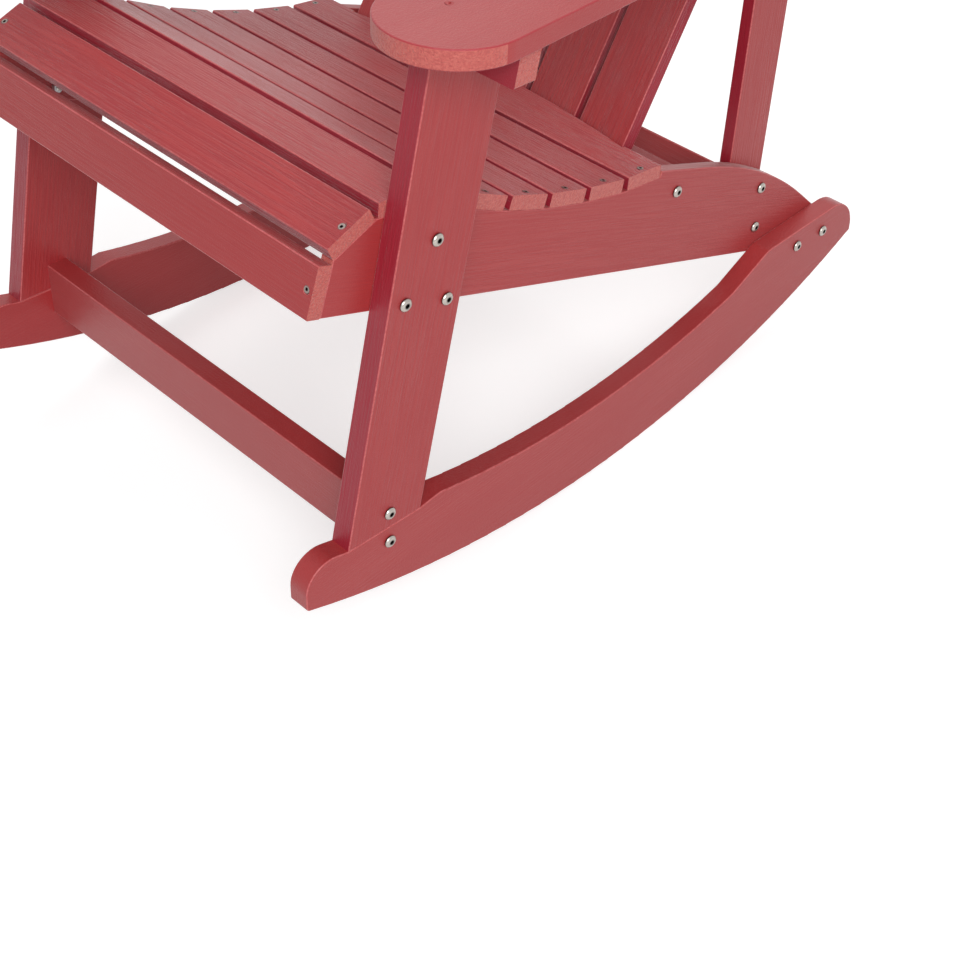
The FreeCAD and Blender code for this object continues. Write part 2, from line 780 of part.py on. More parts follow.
def bolt_rear():
    """Bolts from the rails into the posts, from the rockers into the rails, and into the back rails."""
    for z in (post_bolt_low, post_bolt_high):
        y = post_at(z, post_bolt_offset)[0]
        through_bolt("post", ["side_rail", "rear_post"], rail_outer, 2 * thin_board, y, z)
    for index in range(2):
        y = rocker_pad_start + rocker_bolt_behind_pad_start + index * rocker_bolt_spacing
        z = rocker_pad_height - rocker_bolt_below_pad
        through_bolt("rocker", ["rocker", "side_rail"], leg_outer, thick_board + thin_board, y, z)
    spot = back_origin + FreeCAD.Vector(0, lower_rail_rear - lower_rail_bolt_depth, -lower_rail_drop)
    end_bolt("back_rail", ["side_rail"], "lower_back_rail", rail_outer, thin_board, spot.y, spot.z,
             Z_AXIS * -1, thick_board - barrel_short_of_face)
    spot = in_back(0, back_rail_rear - back_rail_bolt_depth, arm_rail_level - thin_board / 2)
    end_bolt("back_rail", ["rear_post"], "arm_back_rail", rail_inner, thin_board, spot.y, spot.z,
             back_up * -1, thin_board - barrel_short_of_face)


def screw_seat():
    """One screw at each end of each seat slat, into the edge of the rail below."""
    for index, slope in enumerate(slopes):
        name = "seat_slat_nose" if index == 0 else "seat_slat_%d" % index
        y, z = step(step(slat_fronts[index], heading(slope), slat_width / 2), square_to(slope), thin_board)
        down = FreeCAD.Vector(0, math.sin(math.radians(slope)), -math.cos(math.radians(slope)))
        for side, sign in both_sides():
            place = FreeCAD.Vector(sign * (rail_outer - thin_board / 2), y, z)
            drive_screw("seat_slat_screws", name, "side_rail_" + side, thin_board, place, down)


def screw_apron():
    """One screw at each end of the apron, into the front end of the rail."""
    y, z = on_rail(-rail_ahead_of_crest - thin_board, apron_height / 2)
    inward = FreeCAD.Vector(0, rail_run[0], rail_run[1])
    for side, sign in both_sides():
        place = FreeCAD.Vector(sign * (rail_outer - thin_board / 2), y, z)
        drive_screw("front_apron_screws", "front_apron", "side_rail_" + side, thin_board, place, inward)


def screw_arms():
    """Screws down through each arm into the leg and the post, and from the leg into the bracket."""
    down = Z_AXIS * -1
    top = arm_underside + arm_board
    leg_top = leg_y(arm_underside)
    post_top = post_at(arm_underside, 0)[0]
    bracket_z = arm_underside - bracket_height / 2
    for side, sign in both_sides():
        for share in (-0.5, 0.5):
            shift = share * arm_screw_spacing
            place = FreeCAD.Vector(sign * (rail_outer + thick_board / 2), leg_top + shift, top)
            drive_screw("arm_screws", "arm_" + side, "front_leg_" + side, arm_board, place, down)
            place = FreeCAD.Vector(sign * (rail_inner - thin_board / 2), post_top + shift, top)
            drive_screw("arm_screws", "arm_" + side, "rear_post_" + side, arm_board, place, down)
            z = bracket_z + share * bracket_screw_spacing
            place = FreeCAD.Vector(sign * rail_outer, leg_y(z) + bracket_behind_leg_middle, z)
            drive_screw("arm_bracket_screws", "front_leg_" + side, "arm_bracket_" + side, thick_board,
                        place, X_AXIS * sign)


def screw_cross_board():
    """Two screws at each end of the upright rear board, into the front edge of the post."""
    inward = FreeCAD.Vector(0, math.cos(math.radians(post_lean)), -math.sin(math.radians(post_lean)))
    for z in (cross_board_top - cross_board_screw_edge,
              cross_board_top - cross_board_height + cross_board_screw_edge):
        y = post_at(z, -post_width / 2 - thin_board)[0]
        for side, sign in both_sides():
            place = FreeCAD.Vector(sign * (rail_inner - thin_board / 2), y, z)
            drive_screw("rear_cross_board_screws", "rear_cross_board", "rear_post_" + side, thin_board,
                        place, inward)


def screw_back():
    """Two screws through each back slat into each of the three back rails."""
    for index, (x_middle, width) in enumerate(slat_places):
        middle, across, rear = slat_plan(x_middle)
        direction = X_AXIS * rear[0] + back_rear * rear[1]
        slat = "back_slat_%d" % (index + 1)
        for sign in (-1, 1):
            shift = sign * (width / 2 - back_screw_edge)
            x = middle[0] + across[0] * shift
            depth = middle[1] + across[1] * shift
            falls = (depth + thin_board * rear[1] + lower_screw_middle) * back_rear.z
            foot = -(lower_rail_drop + falls) / back_up.z
            for name, up in (("lower_back_rail", foot), ("arm_back_rail", arm_rail_level - thin_board / 2),
                             ("upper_back_rail", upper_rail_level - thin_board / 2)):
                drive_screw("back_slat_screws", slat, name, thin_board, in_back(x, depth, up), direction)


def balance(nodes):
    """Angle in degrees that the chair leans back from its drawing until it balances."""
    mass = 0.0
    moment_y = 0.0
    moment_z = 0.0
    for name, shape in nodes.items():
        density = steel_density if name in fasteners else board_density
        for solid in shape.Solids:
            weight = solid.Volume * density
            mass += weight
            moment_y += weight * solid.CenterOfMass.y
            moment_z += weight * solid.CenterOfMass.z
    return math.degrees(math.atan2(moment_y / mass, rocker_radius - moment_z / mass))


make_boards()
bolt_legs()
bolt_feet()
bolt_rear()
screw_seat()
screw_apron()
screw_arms()
screw_cross_board()
screw_back()

nodes = {}
for name, board in boards.items():
    nodes[name] = board.cut(Part.makeCompound(cutters[name])) if name in cutters else board
for group, solids in fasteners.items():
    nodes[group] = Part.makeCompound(solids)

lean_back = balance(nodes)
arc_centre = FreeCAD.Vector(0, 0, rocker_radius)
for shape in nodes.values():
    shape.rotate(arc_centre, X_AXIS, -lean_back)
reach = [nodes[name] for name in ("rocker_left", "rocker_right", "arm_left", "arm_right", "back_slat_3")]
box = Part.makeCompound(reach).optimalBoundingBox(False, False)
for shape in nodes.values():
    shape.translate(FreeCAD.Vector(-box.Center.x, -box.Center.y, -box.ZMin))

os.makedirs("parts", exist_ok=True)
for name, shape in nodes.items():
    shape.exportStep("parts/" + name + ".step")

print("leans back %.3f degrees" % lean_back)
print("size %.1f x %.1f x %.1f mm" % (box.XLength, box.YLength, box.ZLength))
print("moved by %.3f, %.3f mm along Y and Z" % (-box.Center.y, -box.ZMin))
print("%d nodes" % len(nodes))
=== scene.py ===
# %% [markdown]
# # A rocking adirondack chair
# The chair is 31 boards of red plastic wood, bolted and screwed together.
# The construction model already has every board in its right shape and place, so this
# lesson loads it, keeps those shapes, and gives them what a drawing lacks: grain that
# runs along each board, paler sawn ends, rounded edges that catch the light, and
# real-looking bolt and screw heads.

import math

import bpy
import numpy as np
from mathutils import Matrix, Vector


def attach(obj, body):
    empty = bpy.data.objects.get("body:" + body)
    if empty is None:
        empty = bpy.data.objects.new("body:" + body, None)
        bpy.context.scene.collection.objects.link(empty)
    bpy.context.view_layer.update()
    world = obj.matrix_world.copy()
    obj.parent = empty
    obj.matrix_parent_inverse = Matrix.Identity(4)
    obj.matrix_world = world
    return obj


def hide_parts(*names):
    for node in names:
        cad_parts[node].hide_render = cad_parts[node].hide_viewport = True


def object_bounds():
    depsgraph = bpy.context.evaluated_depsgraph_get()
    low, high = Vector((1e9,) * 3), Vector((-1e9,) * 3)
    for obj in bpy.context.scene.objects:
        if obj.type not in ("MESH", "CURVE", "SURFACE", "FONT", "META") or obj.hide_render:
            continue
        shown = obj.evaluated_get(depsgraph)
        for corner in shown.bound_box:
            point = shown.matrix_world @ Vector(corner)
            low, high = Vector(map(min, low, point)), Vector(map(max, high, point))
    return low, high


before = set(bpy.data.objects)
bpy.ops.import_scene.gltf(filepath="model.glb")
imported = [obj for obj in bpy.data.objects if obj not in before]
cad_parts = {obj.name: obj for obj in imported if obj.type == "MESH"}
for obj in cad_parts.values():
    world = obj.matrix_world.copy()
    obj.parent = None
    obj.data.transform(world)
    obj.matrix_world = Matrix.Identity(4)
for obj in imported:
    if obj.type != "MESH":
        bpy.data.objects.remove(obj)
model_low, model_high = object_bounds()
model_size = [round(high - low, 4) for low, high in zip(model_low, model_high)]
print("nodes", len(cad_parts), "size", model_size)

# %% [markdown]
# ## The camera
# The camera stands in front of the chair, on the sitter's left, and looks down at
# about 41 degrees.
# A photograph that was cropped has its optical axis off the middle of the frame. Blender copies
# that with the lens shift, so upright lines lean as they do in the photograph.

# %% Place the camera
PHOTO_SIDE = 960
FOCAL_PIXELS = 1633.0
AXIS_PIXEL = (604.0, 338.0)
SENSOR_WIDTH = 36.0
CAMERA_PLACE = (1.13616, -1.01769, 1.26335)
CAMERA_TURN, CAMERA_TILT, CAMERA_ROLL = 42.5747, 90 - 40.6520, -0.4231

camera_data = bpy.data.cameras.new("camera")
camera_data.sensor_width = SENSOR_WIDTH
camera_data.lens = FOCAL_PIXELS / PHOTO_SIDE * camera_data.sensor_width
camera_data.shift_x = 0.5 - AXIS_PIXEL[0] / PHOTO_SIDE
camera_data.shift_y = AXIS_PIXEL[1] / PHOTO_SIDE - 0.5
camera = bpy.data.objects.new("camera", camera_data)
camera.location = CAMERA_PLACE
turn = Matrix.Rotation(math.radians(CAMERA_TURN), 4, "Z")
turn = turn @ Matrix.Rotation(math.radians(CAMERA_TILT), 4, "X")
turn = turn @ Matrix.Rotation(math.radians(CAMERA_ROLL), 4, "Z")
camera.rotation_euler = turn.to_euler()
bpy.context.scene.collection.objects.link(camera)
bpy.context.scene.camera = camera
print("lens", round(camera_data.lens, 2),
      "shift", round(camera_data.shift_x, 4), round(camera_data.shift_y, 4))

# %% [markdown]
# ## Helpers for shader nodes
# A material is a small graph of nodes. A few short helpers keep the graphs readable: they add a
# node with its values, do sums, mix colours, and start a shader group with named sockets.

# %% Node helpers
def add_node(tree, kind, settings=None, **values):
    """A node of that kind, with settings on the node itself and values on its input sockets.

    A socket is given by its name, or by its number as i0, i1 and so on. A value that is another
    node's output socket becomes a link."""
    node = tree.nodes.new(kind)
    for name, setting in (settings or {}).items():
        setattr(node, name, setting)
    for name, value in values.items():
        numbered = name[0] == "i" and name[1:].isdigit()
        socket = node.inputs[int(name[1:]) if numbered else name.replace("_", " ")]
        if isinstance(value, bpy.types.NodeSocket):
            tree.links.new(value, socket)
        else:
            socket.default_value = value
    return node


def math_node(tree, operation, first, second):
    """The output of a Math node."""
    return add_node(tree, "ShaderNodeMath", {"operation": operation}, i0=first, i1=second).outputs[0]


def map_range(tree, value, low, high, to_low=0.0, to_high=1.0, smooth=True):
    """A value taken from one range to another, with a smooth step by default."""
    settings = {"interpolation_type": "SMOOTHSTEP" if smooth else "LINEAR"}
    return add_node(tree, "ShaderNodeMapRange", settings,
                    i0=value, i1=low, i2=high, i3=to_low, i4=to_high).outputs[0]


def noise(tree, where, **values):
    """The output of a Noise Texture node at those coordinates."""
    return add_node(tree, "ShaderNodeTexNoise", Vector=where, **values).outputs[0]


def blend_colour(tree, factor, first, second):
    """The colour output of a Mix node, whose colour sockets are numbers 6 and 7."""
    return add_node(tree, "ShaderNodeMix", {"data_type": "RGBA"},
                    i0=factor, i6=first, i7=second).outputs[2]


def make_group(name, inputs, outputs):
    """An empty shader group with named sockets, given as {name: (socket type, start value)}."""
    tree = bpy.data.node_groups.new(name, "ShaderNodeTree")
    for label, (kind, start) in inputs.items():
        socket = tree.interface.new_socket(name=label, in_out="INPUT", socket_type=kind)
        if start is not None:
            socket.default_value = start
    for label, kind in outputs.items():
        tree.interface.new_socket(name=label, in_out="OUTPUT", socket_type=kind)
    return tree, tree.nodes.new("NodeGroupInput").outputs, tree.nodes.new("NodeGroupOutput").inputs


def linear(red, green, blue):
    """A colour given as 0 to 255 screen values, in the linear values that shaders use.

    This is the sRGB curve: a straight start, then a power of 2.4."""
    screen = np.array([red, green, blue]) / 255
    light = np.where(screen <= 0.04045, screen / 12.92, ((screen + 0.055) / 1.055) ** 2.4)
    return (*light.tolist(), 1.0)


# %% [markdown]
# ## Grain that is pressed into the plastic
# The boards are extruded from plastic with wood flour, and a roller presses a grain into them
# while they are warm. It is many fine streaks along the board, deeper in some patches, with a few
# wide arches. Noise that is stretched along the board gives the streaks and a bent wave gives the
# arches. The pattern reads the board's own coordinates, so it turns with the board.

# %% The grain group
FLOAT = "NodeSocketFloat"
VECTOR = "NodeSocketVector"
COLOUR = "NodeSocketColor"

grain, grain_in, grain_out = make_group(
    "pressed_grain",
    {"Board": (VECTOR, None), "Depth": (FLOAT, 1.0)},
    {"Height": FLOAT, "Streak": FLOAT, "Patch": FLOAT},
)


def stretched(along, aside):
    """The board's coordinates, stretched along and aside so that a noise there becomes streaks."""
    scale = (along, aside, aside)
    return add_node(grain, "ShaderNodeMapping", i0=grain_in["Board"], i3=scale).outputs[0]


fine = noise(grain, stretched(14.0, 520.0), Scale=1.0, Detail=3.0, Roughness=0.62, Distortion=0.25)
wide = noise(grain, stretched(5.0, 150.0), Scale=1.0, Detail=2.0, Roughness=0.5, Distortion=0.6)
arches = add_node(
    grain, "ShaderNodeTexWave", {"wave_type": "RINGS", "rings_direction": "X"},
    Vector=stretched(2.2, 26.0),
    Scale=2.4, Distortion=3.0, Detail=2.0, Detail_Scale=1.2, Detail_Roughness=0.5,
).outputs["Fac"]
patch = noise(grain, stretched(7.0, 24.0), Scale=1.0, Detail=2.0, Roughness=0.5)
patch = map_range(grain, patch, 0.35, 0.65)
streaks = map_range(grain, fine, 0.38, 0.62)

SHALLOWEST_PATCH = 0.55
STREAK_PART, WIDE_PART, ARCH_PART = 0.6, 0.35, 0.12
depth_here = map_range(grain, patch, 0.0, 1.0, SHALLOWEST_PATCH, 1.0)
strength = math_node(grain, "MULTIPLY", grain_in["Depth"], depth_here)
summed = math_node(grain, "MULTIPLY", streaks, STREAK_PART)
for pattern, part in ((wide, WIDE_PART), (arches, ARCH_PART)):
    summed = math_node(grain, "ADD", summed, math_node(grain, "MULTIPLY", pattern, part))
grain.links.new(math_node(grain, "MULTIPLY", summed, strength), grain_out["Height"])
grain.links.new(math_node(grain, "MULTIPLY", streaks, strength), grain_out["Streak"])
grain.links.new(patch, grain_out["Patch"])
print("grain nodes", len(grain.nodes))

# %% [markdown]
# ## Sawn faces
# A saw or a router opens the plastic. The cut face is paler, a little orange, and pitted like
# orange peel. Two noises at different scales give the pits and the mottle.

# %% The sawn face group
PIT_SCALE = 620.0
MOTTLE_SCALE = 430.0

sawn, sawn_in, sawn_out = make_group(
    "sawn_face",
    {"Board": (VECTOR, None)},
    {"Height": FLOAT, "Mottle": FLOAT},
)
pits = noise(sawn, sawn_in["Board"], Scale=PIT_SCALE, Detail=2.0, Roughness=0.6)
mottle = noise(sawn, sawn_in["Board"], Scale=MOTTLE_SCALE, Detail=3.0, Roughness=0.7)
sawn.links.new(map_range(sawn, pits, 0.3, 0.7), sawn_out["Height"])
sawn.links.new(map_range(sawn, mottle, 0.36, 0.64), sawn_out["Mottle"])
print("sawn face nodes", len(sawn.nodes))

# %% [markdown]
# ## The red plastic wood
# The finish joins the two effects. A smooth skin covers the faces and the grain is pressed into it.
# The sawn mask, which each board carries on its faces, swaps in the paler cut colour.
# The rim mask marks the rounded edges and paints them a rim colour: a pale highlight on most boards,
# a deeper crimson line on the arms.
# Every board also has its own small number, so no two boards have quite the same red.

# %% The board material
SKIN_RED = linear(163, 44, 46)
SKIN_DEEP = linear(138, 26, 40)
SKIN_PALE = linear(182, 74, 73)
# The narrow sides' deeper crimson is partly their own colour and partly painted shade.
SIDE_CRIMSON_AND_SHADE = linear(152, 25, 46)
CUT_RED = linear(186, 84, 79)
CUT_PALE = linear(202, 104, 95)
# The rims' colours: a painted highlight for most boards, a deeper crimson line for the arms.
RIM_HIGHLIGHT = linear(206, 112, 112)
RIM_CRIMSON = linear(166, 40, 56)

SKIN_ROUGHNESS = (0.4, 0.56)
CUT_ROUGHER = 0.14
CUT_PITS = 0.8
BUMP_STRENGTH = 0.8
BUMP_DISTANCE = 0.0009


def plastic_wood(name, grain_depth, peel_depth, rim_colour):
    """The board finish: how deep its grain is, how pitted its skin, and the colour painted on its
    rims.
    """
    material = bpy.data.materials.new(name)
    material.use_nodes = True
    tree = material.node_tree
    shader = tree.nodes["Principled BSDF"]

    def carried(label, output):
        return add_node(tree, "ShaderNodeAttribute", {"attribute_name": label}).outputs[output]

    def share(value, low, high):
        return map_range(tree, value, 0.0, 1.0, low, high, False)

    board = carried("board", "Vector")
    cut, rim = carried("sawn", "Fac"), carried("rim", "Fac")
    streak = add_node(tree, "ShaderNodeGroup", {"node_tree": grain}, Board=board, Depth=grain_depth)
    peel = add_node(tree, "ShaderNodeGroup", {"node_tree": sawn}, Board=board)
    skin = blend_colour(tree, share(streak.outputs["Streak"], 0.0, 0.62), SKIN_RED, SKIN_DEEP)
    skin = blend_colour(tree, share(streak.outputs["Patch"], 0.0, 0.16), skin, SKIN_PALE)
    skin = blend_colour(tree, share(carried("tone", "Fac"), 0.0, 0.2), skin, SKIN_PALE)
    # Narrow sides of slats, legs and posts: partly their own crimson, partly painted shade.
    skin = blend_colour(tree, share(carried("side", "Fac"), 0.0, 0.9), skin, SIDE_CRIMSON_AND_SHADE)
    opened = blend_colour(tree, peel.outputs["Mottle"], CUT_RED, CUT_PALE)
    # Painted highlight: the rims are blended towards the rim colour, unevenly with the mottle.
    rim_tint = math_node(tree, "MULTIPLY", rim, share(peel.outputs["Mottle"], 0.3, 0.75))
    colour = blend_colour(tree, rim_tint, skin, rim_colour)
    colour = blend_colour(tree, cut, colour, opened)
    tree.links.new(colour, shader.inputs["Base Color"])
    streak_rough = share(streak.outputs["Streak"], *SKIN_ROUGHNESS)
    rough = math_node(tree, "ADD", streak_rough, share(cut, 0.0, CUT_ROUGHER))
    tree.links.new(rough, shader.inputs["Roughness"])
    pits = math_node(tree, "MULTIPLY", peel.outputs["Height"], share(cut, peel_depth, CUT_PITS))
    pressed = math_node(tree, "MULTIPLY", streak.outputs["Height"], share(cut, 1.0, 0.0))
    height = math_node(tree, "SUBTRACT", pits, pressed)
    bump = add_node(tree, "ShaderNodeBump",
                    Strength=BUMP_STRENGTH, Distance=BUMP_DISTANCE, Height=height)
    tree.links.new(bump.outputs[0], shader.inputs["Normal"])
    shader.inputs["Specular IOR Level"].default_value = 0.45
    shader.inputs["Sheen Weight"].default_value = 0.32
    shader.inputs["Sheen Roughness"].default_value = 0.3
    return material


board_finishes = {
    "slat": plastic_wood("red_slat", 1.0, 0.1, RIM_HIGHLIGHT),
    "board": plastic_wood("red_board", 0.5, 0.1, RIM_HIGHLIGHT),
    "rocker": plastic_wood("red_rocker", 0.2, 0.16, RIM_HIGHLIGHT),
    "arm": plastic_wood("red_arm", 0.15, 0.22, RIM_CRIMSON),
}
print("board finishes", list(board_finishes))

# %% [markdown]
# ## The boards
# A grain needs to know which way its board runs. The directions come from the board's own shape:
# the spread of its surface is longest along the board and shortest through it.
# The copy of each board's mesh is merged first, then carries its coordinates, a tone, and masks
# for the sawn faces and the rounded edges, so one material serves every board.

# %% Merge a board's mesh
MERGE_STEPS = 1e5


def merged_mesh(node):
    """The node's mesh with its doubled points joined: (points, triangles).

    Points that agree to a hundredth of a millimetre become one, and triangles that lose a corner
    go."""
    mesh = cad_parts[node].data
    points = np.empty(len(mesh.vertices) * 3)
    mesh.vertices.foreach_get("co", points)
    points = points.reshape(-1, 3)
    corners = np.empty(len(mesh.loops), np.int32)
    mesh.loops.foreach_get("vertex_index", corners)
    steps = np.round(points * MERGE_STEPS).astype(np.int64)
    _, first, place = np.unique(steps, axis=0, return_index=True, return_inverse=True)
    triangles = place.reshape(-1)[corners].reshape(-1, 3)
    whole = (triangles != np.roll(triangles, -1, axis=1)).all(axis=1)
    return points[first], triangles[whole]


def triangle_normals(points, triangles):
    """Unit normals and areas: the cross product of two sides, and half its length."""
    start, second, third = (points[triangles[:, corner]] for corner in range(3))
    sides = np.cross(second - start, third - start)
    length = np.linalg.norm(sides, axis=1)
    return sides / np.maximum(length, 1e-12)[:, None], length / 2


def board_axes(points, triangles):
    """The board's middle and its axes along, across and through it.

    They are the eigenvectors of the surface's spread, each triangle weighted by its area."""
    _, area = triangle_normals(points, triangles)
    centres = points[triangles].mean(axis=1)
    middle = (centres * area[:, None]).sum(0) / area.sum()
    offset = centres - middle
    _, vectors = np.linalg.eigh((offset * area[:, None]).T @ offset)
    axes = vectors[:, ::-1].T.copy()
    axes[2] = np.cross(axes[0], axes[1])
    return middle, axes


# %% Make a board piece
BOARD_SMOOTH_ANGLE = 24
RIM_FROM, RIM_TO = 0.25, 0.96
END_COSINE = 0.72
SIDE_COSINE = 0.9
BRACKET_SIDE = 0.5
STRAIGHT_EDGE = 0.994
PATTERN_SHIFT = (1.37, 0.61, 0.29)
TONE_STEP = 0.618034


def new_piece(name, points, faces, smooth_angle=None):
    """A mesh object at the origin, from an array of points and a list of faces."""
    mesh = bpy.data.meshes.new(name)
    mesh.from_pydata(points.tolist(), [], faces)
    mesh.shade_smooth()
    if smooth_angle is not None:
        mesh.set_sharp_from_angle(angle=math.radians(smooth_angle))
    mesh.update()
    piece = bpy.data.objects.new(name, mesh)
    bpy.context.scene.collection.objects.link(piece)
    return piece


def board_masks(node, normals, axes):
    """Which faces are sawn, which are narrow sides and which are rounded rims, for each triangle.

    Each mask comes from how far a face looks along, across and through its board, as a cosine. An
    arm is routed where its edge bends, and sawn nowhere else."""
    along, across, through = np.abs(normals @ axes.T).T
    rim = (through > RIM_FROM) & (through < RIM_TO)
    plain = np.zeros(len(normals), bool)
    if node.startswith("arm_bracket"):
        return along > END_COSINE, along < BRACKET_SIDE, plain
    if node.startswith("arm_left") or node.startswith("arm_right"):
        level = normals - (normals @ axes[2])[:, None] * axes[2]
        spread = np.linalg.norm(level, axis=1)
        routed = (spread > RIM_FROM) & (np.abs(level[:, 0]) < STRAIGHT_EDGE * spread)
        return routed & ~rim, plain, rim
    if node.startswith(("rocker", "front_stretcher")):
        return plain, plain, rim
    narrow_sided = "slat" in node or "leg" in node or "post" in node
    return along > END_COSINE, across > SIDE_COSINE if narrow_sided else plain, rim


def finish_of(node):
    """The finish that a board has."""
    for start, finish in (("rocker", "rocker"), ("front_stretcher", "rocker"), ("arm_back", "board"),
                          ("arm", "arm"), ("seat_slat", "slat"), ("back_slat", "slat")):
        if node.startswith(start):
            return finish
    return "board"


def finish_board(node, seed):
    """The visible board for a node, with the attributes that its material reads."""
    points, triangles = merged_mesh(node)
    middle, axes = board_axes(points, triangles)
    normals, _ = triangle_normals(points, triangles)
    piece = new_piece(node + "_board", points, triangles.tolist(), BOARD_SMOOTH_ANGLE)
    mesh = piece.data
    local = (points - middle) @ axes.T + seed * np.array(PATTERN_SHIFT)
    mesh.attributes.new("board", "FLOAT_VECTOR", "POINT").data.foreach_set("vector", local.ravel())
    tone = np.full(len(points), (seed * TONE_STEP) % 1.0)
    mesh.attributes.new("tone", "FLOAT", "POINT").data.foreach_set("value", tone)
    for label, mask in zip(("sawn", "side", "rim"), board_masks(node, normals, axes)):
        values = np.repeat(mask.astype(float), 3)
        mesh.attributes.new(label, "FLOAT", "CORNER").data.foreach_set("value", values)
    weighted = piece.modifiers.new("even_shading", "WEIGHTED_NORMAL")
    weighted.keep_sharp = True
    mesh.materials.append(board_finishes[finish_of(node)])
    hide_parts(node)
    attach(piece, "root")
    return piece


FASTENER_ENDINGS = ("bolts", "nuts", "screws")
board_nodes = sorted(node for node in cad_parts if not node.endswith(FASTENER_ENDINGS))
boards = [finish_board(node, seed + 1) for seed, node in enumerate(board_nodes)]
print("boards", len(boards), "triangles", sum(len(piece.data.polygons) for piece in boards))

# %% [markdown]
# ## Bright metal
# The bolts are nickel plated and the screws are stainless steel, a little darker and duller.
# Plated metal has faint smudges, so a cloudy noise varies its colour and its roughness. A mask that
# each fastener carries paints shade into its socket and under its rim. The nuts keep their drawn
# shape and only get a zinc finish. The screws in the arms are in plain red enamel.

# %% The metal materials
SMUDGE_SCALE = 420.0
SMUDGE_COLOUR = (0.3, 0.28, 0.27, 1.0)
# Painted shade for the sockets and the ring under a head.
RECESS_SHADE_COLOUR = (0.03, 0.022, 0.022, 1.0)
SMUDGE_ROUGHER = 0.5

smudges, smudges_in, smudges_out = make_group(
    "metal_smudge",
    {"Where": (VECTOR, None), "Metal": (COLOUR, None),
     "Roughness": (FLOAT, 0.3), "Recess": (FLOAT, 0.0)},
    {"Metal": COLOUR, "Roughness": FLOAT},
)
cloud = noise(smudges, smudges_in["Where"], Scale=SMUDGE_SCALE, Detail=3.0)
cloud = map_range(smudges, cloud, 0.35, 0.7, 0.0, 0.3)
metal = blend_colour(smudges, cloud, smudges_in["Metal"], SMUDGE_COLOUR)
# Painted shade: the recess mask blends the metal towards near black.
metal = blend_colour(smudges, smudges_in["Recess"], metal, RECESS_SHADE_COLOUR)
smudges.links.new(metal, smudges_out["Metal"])
rougher = math_node(smudges, "MULTIPLY", cloud, SMUDGE_ROUGHER)
rougher = math_node(smudges, "ADD", smudges_in["Roughness"], rougher)
smudges.links.new(rougher, smudges_out["Roughness"])


def painted_metal(name, colour):
    """Plain enamel in the boards' red."""
    material = bpy.data.materials.new(name)
    material.use_nodes = True
    shader = material.node_tree.nodes["Principled BSDF"]
    shader.inputs["Base Color"].default_value = colour
    shader.inputs["Roughness"].default_value = 0.5
    return material


def plated_metal(name, colour, roughness):
    """A metal with a faint smudge in its colour and its roughness, and painted shade in its
    recesses.
    """
    material = bpy.data.materials.new(name)
    material.use_nodes = True
    tree = material.node_tree
    shader = tree.nodes["Principled BSDF"]
    where = add_node(tree, "ShaderNodeTexCoord").outputs["Object"]
    recess = add_node(tree, "ShaderNodeAttribute", {"attribute_name": "recess"}).outputs["Fac"]
    look = add_node(tree, "ShaderNodeGroup", {"node_tree": smudges},
                    Where=where, Metal=colour, Roughness=roughness, Recess=recess)
    tree.links.new(look.outputs["Metal"], shader.inputs["Base Color"])
    tree.links.new(look.outputs["Roughness"], shader.inputs["Roughness"])
    shader.inputs["Metallic"].default_value = 1.0
    return material


nickel = plated_metal("nickel_plate", linear(184, 178, 170), 0.2)
stainless = plated_metal("stainless_screw", linear(158, 142, 136), 0.36)
painted = painted_metal("red_enamel", SKIN_RED)
zinc = plated_metal("zinc_nut", linear(188, 188, 190), 0.36)
nut_nodes = [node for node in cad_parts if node.endswith("nuts")]
for node in nut_nodes:
    for drawn_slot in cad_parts[node].material_slots:
        drawn_slot.material = zinc
print("zinc finish on", sorted(nut_nodes))

# %% [markdown]
# ## Bolt and screw heads
# A turned part is a profile carried round an axis. Here the profile starts at the bottom of the
# socket, comes up its wall, goes over the dome and under the head, and ends at the shank's tip.
# The socket isn't round: near the middle, the radius follows a polygon, and it fades to a circle
# on the dome. So the whole head is still one function of two numbers, the angle and the place
# on the profile.

# %% Find the fasteners
def islands(points, triangles):
    """A number for each point that is the same for all points of one solid.

    Each point takes the lowest number among its triangles' corners until nothing changes."""
    label = np.arange(len(points))
    while True:
        lowest = label[triangles].min(axis=1)
        after = label.copy()
        for corner in range(3):
            np.minimum.at(after, triangles[:, corner], lowest)
        after = after[after]
        if np.array_equal(after, label):
            return label
        label = after


def fastener_places(node):
    """The head's middle, the direction from head to tip and the length of each solid in a group.

    The axis is the longest spread of the solid's points, and the widest points are at the head."""
    points, triangles = merged_mesh(node)
    label = islands(points, triangles)
    places = []
    for number in np.unique(label):
        solid = points[label == number]
        middle = (solid.max(0) + solid.min(0)) / 2
        _, vectors = np.linalg.eigh(np.cov((solid - solid.mean(0)).T))
        axis = vectors[:, 2]
        along = (solid - middle) @ axis
        aside = np.linalg.norm((solid - middle) - along[:, None] * axis, axis=1)
        if along[np.argmax(aside)] > (along.max() + along.min()) / 2:
            axis, along = -axis, -along
        places.append((middle + axis * along.min(), axis, along.max() - along.min()))
    return places


for node in ("leg_bolts", "seat_slat_screws"):
    found = fastener_places(node)
    print(node, len(found), "length mm", round(found[0][2] * 1000, 2))

# %% Turn a head and its shank
HEAD_SMOOTH_ANGLE = 38


